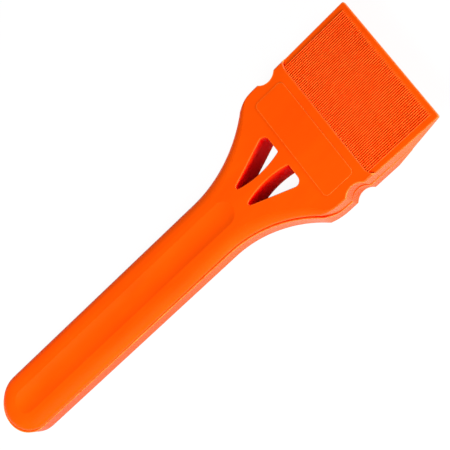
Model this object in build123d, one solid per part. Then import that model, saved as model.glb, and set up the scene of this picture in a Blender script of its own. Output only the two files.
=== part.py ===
from build123d import *
from math import radians, sqrt, tan
import os

# One-piece moulded glazing lever, in millimetres.
# It lies on its flat underside.  X runs along the tool with the thin lip at +X, Y across it, Z up.
# A "station" is a distance back from the front of the lip, so x = LIP_X - station.
# The origin is on the underside, below the middle of the bounding box.

# Driving dimensions
LENGTH = 221.4
LIP_X = LENGTH / 2
HEIGHT = 13.0
SIDE_DRAFT = 2.0           # degrees, both ways from the parting line on the head

# The parting line between the two mould halves: its height on the head and on the grip
HEAD_PART_Z = 6.2
GRIP_PART_Z = 10.3
LEDGE_FRONT = 54.0         # it climbs round the shoulder between these two stations
LEDGE_REAR = 62.0

# Outlines in plan: half width of the head, shoulder radius, station of the corner after it, radius
# of the hollow neck, station where the grip begins, half width of the grip there
UPPER_OUTLINE = (29.8, 18.0, 59.5, 58.5, 98.3, 12.45)
LOWER_OUTLINE = (29.8, 21.0, 60.0, 57.5, 98.6, 12.75)
BASE_OUTLINE = (29.7, 26.0, 60.8, 54.0, 98.8, 12.6)
MOULD_SHIFT = (-0.3, -0.35)    # how far the lower half sits off the upper one, along X and Y
OVERHANG = 1.1             # how much further the lower half runs at the grip's end
GRIP_TAPER = 0.4           # how much narrower each side of the lower half is at the grip's end
GRIP_END = LENGTH - OVERHANG - (LOWER_OUTLINE[5] - GRIP_TAPER)
HEAD_END = 50.0            # where the loft through the neck begins

# Edge rounding: small on the head; on the grip a wide crown above and a deeper one below
HEAD_EDGE = 0.5
CROWN_RUN = 5.2
CROWN_DROP = 2.5
BASE_RUN = 5.2
BASE_DROP = 3.2

# Wedge, lip and the sunk ribbed face
FACE_Z = 12.25
FACE_END = 34.3            # the step back up to the head's top
FACE_CORNER = 5.0
FACE_HALF_WIDTH = 30.6     # where the corner arcs of the step would finish
LIP_THICK = 1.65
LIP_CORNER = 0.9
LIP_TOP_ROUND = 0.3
LIP_BASE_ROUND = 0.7
WEDGE_HALF_WIDTH = 29.7    # at the top, where it meets the head
LIP_FLARE = 0.5            # how much wider each side is at the lip than at the step
WEDGE_DRAFT = 1.3          # degrees
KEEL = 26.5                # where the slanted underside meets the flat one
KEEL_RADIUS = 3.0
STEP_BEVEL = 0.3
PART_LINE_FOOT = 28.0      # the parting line climbs the side from here
PART_LINE_TOP = 37.6       # to here

# Ribs on the sunk face
RIB_COUNT = 64
RIB_PITCH = 0.868
RIB_HEIGHT = 0.5
RIB_CREST = 0.33           # where the crest stands across the pitch, counted from -Y
RIB_START = 1.6
RIB_RAMP = 1.8

# Side notches
NOTCH_AT = 42.45
NOTCH_RADIUS = 5.9
NOTCH_Y = 33.3

# Raised marking pad, left blank
PAD_FRONT = 38.2
PAD_REAR = 52.8
PAD_WIDTH = 48.0
PAD_CORNER = 2.0
PAD_HEIGHT = 0.18

# The pair of slots through the neck
SLOT_FRONT = 56.7
SLOT_INNER_Y = 3.45
SLOT_WAIST = (67.7, 1.95)
SLOT_OUTER_Y = 13.33
SLOT_POINT = (80.8, 4.15)
SLOT_CORNER = 2.4
SLOT_POINT_RADIUS = 0.8
SLOT_INNER_CORNER = 0.5
SLOT_TAPER = 1.5
SLOT_EDGE = 0.4

# Long shallow thumb groove in the grip's top
GROOVE_FRONT = 84.8
GROOVE_REAR = 213.2
GROOVE_WIDTH = 10.4
GROOVE_DEPTH = 0.8

BEZIER_ARC = 0.5523        # makes a cubic follow a quarter of an ellipse
SLOPE = tan(radians(SIDE_DRAFT))


def x_at(station):
    return LIP_X - station


def ease(value, low, high):
    """0 below low, 1 above high, and a smooth S between."""
    t = min(max((value - low) / (high - low), 0.0), 1.0)
    return t * t * (3 - 2 * t)


def outline(station, head, shoulder, corner, neck, grip_start, grip):
    """Half width in plan: straight head, rounded shoulder, corner, hollow neck, straight grip."""
    def hollow(at):
        return grip + neck - sqrt(neck ** 2 - max(grip_start - at, 0) ** 2)

    if station >= corner:
        return hollow(station)
    centre = head - shoulder
    reach = sqrt(shoulder ** 2 - (hollow(corner) - centre) ** 2)
    return centre + sqrt(shoulder ** 2 - max(station - corner + reach, 0) ** 2)


def corner_curve(start, corner, end):
    """A quarter ellipse from start to end whose end tangents meet at corner."""
    a = start + (corner - start) * BEZIER_ARC
    b = end + (corner - end) * BEZIER_ARC
    return Bezier(start, a, b, end)


def side_edges(station, side):
    """One side of the cross-section, from the top's middle to the bottom's middle."""
    x = x_at(station)
    taper = GRIP_TAPER * max(station - LOWER_OUTLINE[4], 0) / (GRIP_END - LOWER_OUTLINE[4])
    upper = outline(station, *UPPER_OUTLINE)
    lower = outline(station, *LOWER_OUTLINE) - taper
    base = outline(station, *BASE_OUTLINE) - taper
    part = HEAD_PART_Z + (GRIP_PART_Z - HEAD_PART_Z) * ease(station, LEDGE_FRONT, LEDGE_REAR)
    crown = 0.75 * ease(station, 53.5, 61) + 0.25 * ease(station, 61, 95)
    run = HEAD_EDGE + (CROWN_RUN - HEAD_EDGE) * crown
    drop = HEAD_EDGE + (CROWN_DROP - HEAD_EDGE) * crown
    belly = ease(station, 66, 100)
    base_run = HEAD_EDGE + (BASE_RUN - HEAD_EDGE) * belly
    base_drop = HEAD_EDGE + (BASE_DROP - HEAD_EDGE) * belly
    top_slope = SLOPE * (1 - 0.5 * crown)
    top_y = upper - (HEIGHT - part) * top_slope
    base_slope = (lower - base) / part

    def high(y, z):
        return Vector(x, side * y, z)

    def low(y, z):
        return Vector(x, side * y + MOULD_SHIFT[1], z)

    top_in = high(top_y - run, HEIGHT)
    top_out = high(top_y + drop * top_slope, HEIGHT - drop)
    base_out = low(base + base_drop * base_slope, base_drop)
    base_in = low(base - base_run, 0)
    return [
        Line(high(0, HEIGHT), top_in),
        corner_curve(top_in, high(top_y, HEIGHT), top_out),
        Line(top_out, high(upper, part)),
        Line(high(upper, part), low(lower, part)),
        Line(low(lower, part), base_out),
        corner_curve(base_out, low(base, 0), base_in),
        Line(base_in, high(0, 0)),
    ]


def section(station):
    return Face(Wire(side_edges(station, 1) + side_edges(station, -1)))


def prism(points, axis_from, length):
    """A prism from (station, z) points, running across the tool."""
    corners = [Vector(x_at(s), axis_from, z) for s, z in points]
    return extrude(Face(Wire.make_polygon(corners)), amount=length, dir=(0, 1, 0))


def flare_face(station):
    """The wedge's cross-section before it is cut: sides that flare from the top all the way down."""
    top = WEDGE_HALF_WIDTH + LIP_FLARE * (PART_LINE_TOP - station) / PART_LINE_TOP
    base = top + HEIGHT * tan(radians(WEDGE_DRAFT))
    half = [(top - HEAD_EDGE, HEIGHT), (top, HEIGHT - HEAD_EDGE), (base, 0)]
    corners = half + [(-y, z) for y, z in reversed(half)]
    return Face(Wire.make_polygon([Vector(x_at(station), y, z) for y, z in corners]))


def make_wedge():
    """The flared wedge with its rounded lip, as far back as the climbing parting line."""
    wedge = loft([flare_face(PART_LINE_TOP), flare_face(0)], ruled=True)
    wedge = round_lip(wedge - wedge_cut() - face_cut())
    behind = [(PART_LINE_FOOT, 0), (PART_LINE_TOP, HEAD_PART_Z), (PART_LINE_TOP + 5, HEAD_PART_Z),
              (PART_LINE_TOP + 5, -5), (PART_LINE_FOOT, -5)]
    return wedge - prism(behind, -40, 80)


def make_head():
    """Straight-sided block and the wedge in front of it."""
    block = extrude(section(HEAD_END), amount=HEAD_END - FACE_END / 2, dir=(1, 0, 0))
    return block - wedge_cut() - face_cut() + make_wedge()


def make_neck():
    """Loft through the shoulder and the flare into the grip."""
    stations = [50, 51.5, 53]
    stations += [54 + 0.6 * k for k in range(12)]
    stations += [61.5, 62.5, 64, 66, 68, 70, 72.5, 75, 77.5, 80, 82.5, 85, 87.5, 90, 92.5, 95, 97.5]
    stations += [100, 102, 104, 107]
    return loft([section(s) for s in stations])


def half_end(edges, shift):
    """Half-round end of one mould half, from one side's edges, turned about its own middle."""
    x = x_at(GRIP_END)
    top = edges[0] @ 0
    bottom = edges[-1] @ 1
    middle_top = Vector(x, shift, top.Z)
    middle_bottom = Vector(x, shift, bottom.Z)
    closing = [Line(bottom, middle_bottom), Line(middle_bottom, middle_top)]
    if (top - middle_top).length > 0.01:
        closing.append(Line(middle_top, top))
    return revolve(Face(Wire(edges + closing)), axis=Axis((x, shift, 0), (0, 0, 1)), revolution_arc=180)


def make_grip():
    """Straight grip, slightly narrower to the rear, with each mould half's own half-round end."""
    straight = loft([section(107), section(GRIP_END)], ruled=True)
    edges = side_edges(GRIP_END, 1)
    lower = half_end(edges[4:6], MOULD_SHIFT[1])
    link = extrude(lower.faces().sort_by(Axis.X)[-1], amount=OVERHANG, dir=(-1, 0, 0))
    return straight + half_end(edges[:3], 0) + link + Pos(-OVERHANG, 0, 0) * lower


def wedge_cut():
    """Everything below the slanted underside of the wedge."""
    z = FACE_Z - LIP_THICK
    slope = z / KEEL
    return prism([(-5, z + 5 * slope), (KEEL, 0), (KEEL, -5), (-5, -5)], -40, 80)


def round_lip(body):
    """Rounds the keel, then the lip's two corners, its lower edge and its upper one."""
    def near_lip(reach):
        return [e for e in body.edges() if e.center().X > LIP_X - reach]

    keel = [e for e in body.edges() if abs(e.center().X - x_at(KEEL)) < 0.1 and e.center().Z < 0.1]
    body = fillet(keel, KEEL_RADIUS)
    body = fillet([e for e in near_lip(0.1) if abs(e.center().Y) > 1], LIP_CORNER)
    low = FACE_Z - LIP_THICK + 0.3
    body = fillet([e for e in near_lip(LIP_CORNER) if e.center().Z < low], LIP_BASE_ROUND)
    return fillet([e for e in near_lip(LIP_CORNER) if e.center().Z > FACE_Z - 0.1], LIP_TOP_ROUND)


def face_cut():
    """Everything above the sunk ribbed face: a step with two rounded corners and a bevelled top edge."""
    length = FACE_END + 20
    middle = x_at(FACE_END) + length / 2
    plan = Pos(middle, 0, FACE_Z) * RectangleRounded(length, 2 * FACE_HALF_WIDTH, FACE_CORNER)
    rim = Pos(0, 0, HEIGHT - STEP_BEVEL - FACE_Z) * plan
    return extrude(plan, amount=5) + extrude(rim, amount=2 * STEP_BEVEL, taper=-45)


def make_ribs():
    """Saw-tooth bar of all the ribs, with one ramp across their front ends."""
    low = FACE_Z - 0.04
    left = -RIB_COUNT * RIB_PITCH / 2
    x = x_at(FACE_END + 1.5)
    teeth = [Vector(x, left, FACE_Z - 0.5)]
    for k in range(RIB_COUNT):
        teeth.append(Vector(x, left + k * RIB_PITCH, low))
        teeth.append(Vector(x, left + (k + RIB_CREST) * RIB_PITCH, FACE_Z + RIB_HEIGHT))
    teeth.append(Vector(x, -left, low))
    teeth.append(Vector(x, -left, FACE_Z - 0.5))
    bar = extrude(Face(Wire.make_polygon(teeth)), amount=FACE_END + 1.5 - RIB_START, dir=(1, 0, 0))
    rise = RIB_HEIGHT + 0.04
    ramp = prism([(RIB_START - 1, low - rise / RIB_RAMP), (RIB_START + 2 * RIB_RAMP, low + 2 * rise),
                  (RIB_START - 1, low + 2 * rise)], -40, 80)
    return bar - ramp


def notch_cut(side):
    """A round notch through one side, its lower half shifted with the lower mould half."""
    upper = Pos(x_at(NOTCH_AT), side * NOTCH_Y, HEAD_PART_Z + 10) * Cylinder(NOTCH_RADIUS, 20)
    centre = Pos(x_at(NOTCH_AT) + MOULD_SHIFT[0], side * NOTCH_Y + MOULD_SHIFT[1], HEAD_PART_Z - 10)
    lower = centre * Cylinder(NOTCH_RADIUS, 20)
    return upper + lower


def make_pad():
    length = PAD_REAR - PAD_FRONT
    middle = x_at((PAD_FRONT + PAD_REAR) / 2)
    plan = Pos(middle, 0, HEIGHT - 1) * RectangleRounded(length, PAD_WIDTH, PAD_CORNER)
    return extrude(plan, amount=1 + PAD_HEIGHT)


def slot_plan(side):
    """Outline of one slot at the top face."""
    def at(station, y):
        return Vector(x_at(station), side * y, HEIGHT)

    front_in = at(SLOT_FRONT, SLOT_INNER_Y)
    front_out = at(SLOT_FRONT, SLOT_OUTER_Y)
    point = at(*SLOT_POINT)
    face = Face(Wire([Line(front_in, front_out), Line(front_out, point),
                      ThreePointArc(point, at(*SLOT_WAIST), front_in)]))
    rounds = ((front_in, SLOT_INNER_CORNER), (front_out, SLOT_CORNER), (point, SLOT_POINT_RADIUS))
    for corner, radius in rounds:
        vertex = face.vertices().sort_by_distance(corner)[0]
        face = face.fillet_2d(radius, [vertex])
    return face


def slot_cut(side):
    """One slot, narrowing downwards, with its top edge broken."""
    plan = slot_plan(side)
    if plan.normal_at().Z > 0:
        plan = -plan
    return extrude(plan, amount=HEIGHT + 1, dir=(0, 0, -1), taper=SLOT_TAPER)


def break_slot_edges(body):
    """A small round along the top edge of each slot."""
    rear = x_at(SLOT_POINT[0]) - 1
    front = x_at(SLOT_FRONT) + 1
    top = [e for e in body.edges() if e.center().Z > HEIGHT - 0.01 and rear < e.center().X < front]
    return fillet([e for e in top if e.geom_type != GeomType.BSPLINE], SLOT_EDGE)


def groove_cut():
    """Cylinder with ball ends that leaves the shallow thumb groove."""
    radius = (GROOVE_WIDTH ** 2 / 4 + GROOVE_DEPTH ** 2) / (2 * GROOVE_DEPTH)
    z = HEIGHT - GROOVE_DEPTH + radius
    front = x_at(GROOVE_FRONT + GROOVE_WIDTH / 2)
    rear = x_at(GROOVE_REAR - GROOVE_WIDTH / 2)
    bar = Pos((front + rear) / 2, 0, z) * Rot(0, 90, 0) * Cylinder(radius, front - rear)
    return bar + Pos(front, 0, z) * Sphere(radius) + Pos(rear, 0, z) * Sphere(radius)


def make_body():
    neck = make_neck()
    for side in (1, -1):
        neck = neck - slot_cut(side)
    body = make_head() + break_slot_edges(neck) + make_grip()
    for side in (1, -1):
        body = body - notch_cut(side)
    body = body + make_pad() - groove_cut()
    return body + make_ribs()


os.makedirs("parts", exist_ok=True)
export_step(make_body(), "parts/moulded_body.step")
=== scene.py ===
import math

import bpy
from mathutils import Matrix, Vector

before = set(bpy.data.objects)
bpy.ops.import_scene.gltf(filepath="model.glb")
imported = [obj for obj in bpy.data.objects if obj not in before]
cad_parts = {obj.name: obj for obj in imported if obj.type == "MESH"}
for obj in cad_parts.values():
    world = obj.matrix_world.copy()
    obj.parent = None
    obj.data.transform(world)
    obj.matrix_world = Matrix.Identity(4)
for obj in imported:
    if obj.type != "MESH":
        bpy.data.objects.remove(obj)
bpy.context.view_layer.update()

# Camera, as seen from the point on the tool that lies in the middle of the view
CAM_TARGET = (0.01666, -0.00132, 0.0065)
CAM_AZIMUTH = 40.955
CAM_ELEVATION = 62.943
CAM_DISTANCE = 0.609
CAM_ROLL = -80.96
CAM_LENS = 122.75
CAM_SENSOR = 36.0

# Area lights: name, azimuth, elevation, distance, size, power, target, whether reflections show it
LIGHTS = (
    ("key", -35, 60, 0.34, (0.26, 0.26), 1.95, (-0.11, 0, 0.01), False),
    ("side", 20, 20, 0.6, (0.4, 0.16), 2.9, (0.02, 0, 0.01), True),
    ("front", 80, 10, 0.5, (0.3, 0.12), 2.2, (0.06, 0, 0.01), True),
)

# Backdrop brightness, for the camera and for all other rays
SKY_SEEN = 0.85
SKY_LIGHT = 0.05

# Table: what the camera sees, then its colour for other rays and its bright patch round the head
FLOOR_HALF = 3.0
FLOOR_SEEN = 0.94
FLOOR_SHADE = 0.08
FLOOR_GREY = 0.5
PATCH_X = (-0.03, 0.045)
PATCH_GLOW = (0.2, 1.2)
PATCH_CLEARANCE = 0.02

# Plastic
BODY_COLOUR = (0.95, 0.08, 0.0, 1)
PALE_COLOUR = (1.0, 0.102, 0.0, 1)
DEEP_COLOUR = (0.9, 0.062, 0.0, 1)
# Worn colour: real wear in scuffs and on edges, and painted highlight on edges, rib crests and along the
# step's foot
WORN_AND_HIGHLIGHT_COLOUR = (1.0, 0.36, 0.05, 1)
# Deep red painted shade, laid into crevices, the slots and other hollows, and the rib valleys
PAINTED_SHADE_COLOUR = (0.75, 0.0, 0.0, 1)
ROUGHNESS = 0.4
SHEEN_OPEN = 0.2
SHEEN_RECESS = 0.04

# Noise scales per metre, along X, Y and Z where a pattern is stretched
FLOW_SCALE = (14, 55, 40)
CLOUD_SCALE = 38.0
GRAIN_SCALE = 2600.0
SCUFF_SCALE = (240, 2600, 2600)
RUB_SCALE = 420.0

# Bump: strength, and height in metres
SINK_BUMP = (0.25, 0.0005)
GRAIN_BUMP = (0.12, 0.00006)
SCUFF_BUMP = (0.06, 0.00005)

# How much of the worn colour shows: on edges and rib crests as wear and painted highlight, and in scuffs
# as wear
EDGE_WEAR_AND_HIGHLIGHT = 0.9
SCUFF_WEAR = 0.25

# How far around a point its edges, crevices and deeper hollows are looked for, in metres
EDGE_REACH = 0.0009
CREVICE_REACH = 0.0008
HOLLOW_REACH = 0.012

# Ribbed face, in metres: pitch and crest as in the part, and the area the ribs cover
RIB_PITCH = 0.000868
RIB_CREST = 0.33
RIB_FOOT = 0.0766
RIB_FRONT = 0.1086
RIB_HALF = 0.0277
RIB_Z = (0.002, 0.003)


def direction(azimuth, elevation):
    """Unit vector from the object towards a viewer; azimuth 0 is in front, at -Y."""
    a, e = math.radians(azimuth), math.radians(elevation)
    return Vector((math.sin(a) * math.cos(e), -math.cos(a) * math.cos(e), math.sin(e)))


def place_object(name, data):
    placed = bpy.data.objects.new(name, data)
    bpy.context.scene.collection.objects.link(placed)
    return placed


def aim(placed, azimuth, elevation, distance, target, roll=0.0):
    """Sets it at that distance from target, looking at it, turned by roll about the line of sight."""
    location = Vector(target) + distance * direction(azimuth, elevation)
    look = (Vector(target) - location).to_track_quat("-Z", "Y").to_matrix().to_4x4()
    turn = Matrix.Rotation(math.radians(roll), 4, "Z")
    placed.matrix_world = Matrix.Translation(location) @ look @ turn


def add_camera():
    data = bpy.data.cameras.new("camera")
    data.lens = CAM_LENS
    data.sensor_width = CAM_SENSOR
    camera = place_object("camera", data)
    aim(camera, CAM_AZIMUTH, CAM_ELEVATION, CAM_DISTANCE, CAM_TARGET, CAM_ROLL)
    bpy.context.scene.camera = camera


def add_light(name, azimuth, elevation, distance, size, power, target, glossy):
    data = bpy.data.lights.new(name, "AREA")
    data.shape = "RECTANGLE"
    data.size, data.size_y = size
    data.energy = power
    light = place_object(name, data)
    light.visible_glossy = glossy
    aim(light, azimuth, elevation, distance, target)


class Shading:
    """Shorthand for building a node tree. A value is an output socket or a plain number or colour."""

    def __init__(self, tree):
        self.tree = tree

    def node(self, kind, **settings):
        node = self.tree.nodes.new(kind)
        for key, value in settings.items():
            setattr(node, key, value)
        return node

    def feed(self, socket, value):
        if isinstance(value, bpy.types.NodeSocket):
            self.tree.links.new(value, socket)
        else:
            socket.default_value = value

    def feed_all(self, node, **values):
        """Feeds the inputs named by the keywords, where From_Min stands for From Min."""
        for name, value in values.items():
            self.feed(node.inputs[name.replace("_", " ")], value)
        return node

    def axes(self, vector):
        return self.feed_all(self.node("ShaderNodeSeparateXYZ"), Vector=vector).outputs

    def noise(self, vector, scale, detail=2.0, roughness=0.5):
        node = self.node("ShaderNodeTexNoise")
        self.feed_all(node, Vector=vector, Scale=scale, Detail=detail, Roughness=roughness)
        return node.outputs["Fac"]

    def stretched(self, vector, scale):
        node = self.feed_all(self.node("ShaderNodeMapping"), Vector=vector, Scale=scale)
        return node.outputs["Vector"]

    def remap(self, value, low, high, out_low=0.0, out_high=1.0):
        node = self.node("ShaderNodeMapRange")
        self.feed_all(node, Value=value, From_Min=low, From_Max=high, To_Min=out_low, To_Max=out_high)
        return node.outputs["Result"]

    def calc(self, operation, *values):
        """The operation on one value, or on two or more from left to right."""
        result = values[0]
        for other in values[1:] or (0.0,):
            node = self.node("ShaderNodeMath", operation=operation)
            self.feed(node.inputs[0], result)
            self.feed(node.inputs[1], other)
            result = node.outputs[0]
        return result

    def blend(self, factor, a, b):
        node = self.node("ShaderNodeMix", data_type="RGBA")
        for index, value in ((0, factor), (6, a), (7, b)):
            self.feed(node.inputs[index], value)
        return node.outputs[2]

    def bump(self, height, strength, distance, below=None):
        node = self.node("ShaderNodeBump")
        self.feed_all(node, Height=height, Strength=strength, Distance=distance)
        if below is not None:
            self.feed(node.inputs["Normal"], below)
        return node.outputs["Normal"]

    def openness(self, reach, samples=8, **settings):
        """1 on open faces, less in recesses within reach, or along convex edges with inside=True."""
        node = self.node("ShaderNodeAmbientOcclusion", samples=samples, **settings)
        return self.feed_all(node, Distance=reach).outputs["AO"]


def new_material(name):
    """A material, the shorthand for its tree, and its shader node."""
    material = bpy.data.materials.new(name)
    material.use_nodes = True
    tree = material.node_tree
    return material, Shading(tree), tree.nodes["Principled BSDF"]


def rib_profile(s, place):
    """Height over the ribbed face, 0 in the valleys and 1 on the crests, raised along the step's foot
    for a painted highlight there, and a mask of that face.
    """
    axes = s.axes(place)
    x, y, z = axes["X"], axes["Y"], axes["Z"]
    across = s.calc("FRACT", s.calc("DIVIDE", y, RIB_PITCH))
    rising = s.remap(across, 0.0, RIB_CREST)
    falling = s.remap(across, 1.0, RIB_CREST)
    # Painted highlight: ribs within 0.7 mm of the step count as near-crests, so a pale line covers the
    # step's shade there and the painted valley shade is kept off it
    foot = s.remap(x, RIB_FOOT + 0.0007, RIB_FOOT, 0.0, 0.75)
    height = s.calc("MAXIMUM", s.calc("MINIMUM", rising, falling), foot)
    area = s.calc(
        "MULTIPLY",
        s.remap(s.calc("ABSOLUTE", y), RIB_HALF + 0.0001, RIB_HALF),
        s.remap(x, RIB_FOOT, RIB_FOOT + 0.0002),
        s.remap(x, RIB_FRONT, RIB_FRONT - 0.001),
        s.remap(z, *RIB_Z),
    )
    return height, area


def wear_highlight_and_shade_masks(s, place):
    """Where the plastic is rubbed paler, or painted with highlights on edges and rib crests, and where
    painted shade darkens crevices, hollows and rib valleys; ribs are handled apart.
    """
    # Patchy strength for the edge wear and for the painted highlights on edges and rib crests
    rubbed = s.remap(s.noise(place, RUB_SCALE, 4.0, 0.65), 0.3, 0.6, 0.35, 1.0)
    height, ribbed = rib_profile(s, place)
    plain = s.calc("SUBTRACT", 1.0, ribbed)

    # Convex edges, partly worn and partly a painted highlight along them
    edge = s.remap(s.openness(EDGE_REACH, only_local=True, inside=True), 0.82, 0.52)
    # Painted highlight: the rib crests are made paler, as if light caught them
    crest = s.remap(height, 0.5, 0.95, 0.0, 0.55)
    edges = s.calc("MAXIMUM", s.calc("MULTIPLY", edge, rubbed, plain),
                   s.calc("MULTIPLY", crest, rubbed, ribbed))

    # Painted shade: creases, the slots and other hollows, and the rib valleys are darkened towards deep
    # red
    crevice = s.remap(s.openness(CREVICE_REACH, only_local=True), 0.85, 0.35, 0.0, 0.6)
    hollow = s.remap(s.openness(HOLLOW_REACH, only_local=True), 0.85, 0.5)
    valley = s.remap(height, 0.55, 0.15, 0.0, 0.9)
    painted_shade = s.calc("MAXIMUM", s.calc("MULTIPLY", crevice, plain), s.calc("MULTIPLY", hollow, plain),
                    s.calc("MULTIPLY", valley, ribbed))
    return edges, painted_shade


def plastic():
    """Satin moulded plastic: flow streaks in the colour, fine grain, handling scuffs, worn edges with a
    painted highlight, painted highlight on the rib crests, and painted shade in crevices, hollows and
    rib valleys.
    """
    material, s, shader = new_material("orange_plastic")
    place = s.node("ShaderNodeTexCoord").outputs["Object"]
    flow = s.noise(s.stretched(place, FLOW_SCALE), 1.0, 4.0, 0.55)
    cloud = s.noise(place, CLOUD_SCALE, 3.0)
    grain = s.noise(place, GRAIN_SCALE)
    scuff = s.noise(s.stretched(place, SCUFF_SCALE), 1.0, 3.0, 0.7)
    scuffs = s.calc("MULTIPLY", s.remap(scuff, 0.66, 0.76), s.remap(cloud, 0.5, 0.68))
    edges, painted_shade = wear_highlight_and_shade_masks(s, place)

    colour = s.blend(s.remap(flow, 0.36, 0.64), DEEP_COLOUR, PALE_COLOUR)
    colour = s.blend(s.remap(cloud, 0.3, 0.7, 0.35, 0.75), colour, BODY_COLOUR)
    # Painted shade in crevices, hollows and rib valleys
    colour = s.blend(painted_shade, colour, PAINTED_SHADE_COLOUR)
    # Edge wear, with painted highlight on edges and rib crests
    colour = s.blend(s.calc("MULTIPLY", edges, EDGE_WEAR_AND_HIGHLIGHT), colour, WORN_AND_HIGHLIGHT_COLOUR)
    colour = s.blend(s.calc("MULTIPLY", scuffs, SCUFF_WEAR), colour, WORN_AND_HIGHLIGHT_COLOUR)

    rough = s.calc(
        "ADD",
        s.remap(grain, 0.3, 0.7, ROUGHNESS - 0.04, ROUGHNESS + 0.04),
        s.remap(flow, 0.35, 0.65, -0.03, 0.03),
        s.calc("MULTIPLY", edges, 0.1),
        s.calc("MULTIPLY", scuffs, 0.15),
    )

    sink = s.bump(cloud, *SINK_BUMP)
    fine = s.bump(grain, *GRAIN_BUMP, sink)
    surface = s.bump(scuff, *SCUFF_BUMP, fine)
    sheen = s.remap(painted_shade, 0.0, 1.0, SHEEN_OPEN, SHEEN_RECESS)
    s.feed_all(shader, Base_Color=colour, Roughness=rough, Normal=surface, Specular_IOR_Level=sheen)
    return material


def floor_material():
    """White table for the camera; to other rays a grey one with a bright patch around the head."""
    material, s, shader = new_material("floor")
    along = s.axes(s.node("ShaderNodeTexCoord").outputs["Object"])["X"]
    clear = s.remap(s.openness(PATCH_CLEARANCE, samples=4), 0.3, 0.9)
    glow = s.calc("MULTIPLY", clear, s.remap(along, *PATCH_X, *PATCH_GLOW))
    s.feed_all(shader, Base_Color=(FLOOR_GREY, FLOOR_GREY, FLOOR_GREY, 1), Roughness=0.9,
               Specular_IOR_Level=0.0, Emission_Color=(1, 1, 1, 1), Emission_Strength=glow)

    white = s.feed_all(s.node("ShaderNodeEmission"), Strength=FLOOR_SEEN)
    shade = s.feed_all(s.node("ShaderNodeBsdfDiffuse"), Color=(FLOOR_SHADE, FLOOR_SHADE, FLOOR_SHADE, 1))
    seen = s.node("ShaderNodeAddShader")
    s.feed(seen.inputs[0], white.outputs[0])
    s.feed(seen.inputs[1], shade.outputs[0])
    pick = s.node("ShaderNodeMixShader")
    s.feed(pick.inputs[0], s.node("ShaderNodeLightPath").outputs["Is Camera Ray"])
    s.feed(pick.inputs[1], shader.outputs[0])
    s.feed(pick.inputs[2], seen.outputs[0])
    s.feed(s.tree.nodes["Material Output"].inputs["Surface"], pick.outputs[0])
    return material


def add_floor():
    h = FLOOR_HALF
    mesh = bpy.data.meshes.new("floor")
    mesh.from_pydata([(-h, -h, 0), (h, -h, 0), (h, h, 0), (-h, h, 0)], [], [(0, 1, 2, 3)])
    mesh.materials.append(floor_material())
    floor = place_object("floor", mesh)


def add_world():
    """Pale backdrop for the camera, and only a little light from all round for everything else."""
    world = bpy.data.worlds.new("studio")
    world.use_nodes = True
    s = Shading(world.node_tree)
    camera_ray = s.node("ShaderNodeLightPath").outputs["Is Camera Ray"]
    strength = s.remap(camera_ray, 0.0, 1.0, SKY_LIGHT, SKY_SEEN)
    s.feed_all(world.node_tree.nodes["Background"], Color=(1, 1, 1, 1), Strength=strength)
    bpy.context.scene.world = world


def main():
    add_camera()
    add_world()
    add_floor()
    for light in LIGHTS:
        add_light(*light)
    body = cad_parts["moulded_body"]
    body.data.materials.clear()
    body.data.materials.append(plastic())
    bpy.context.scene.view_settings.view_transform = "Standard"


main()
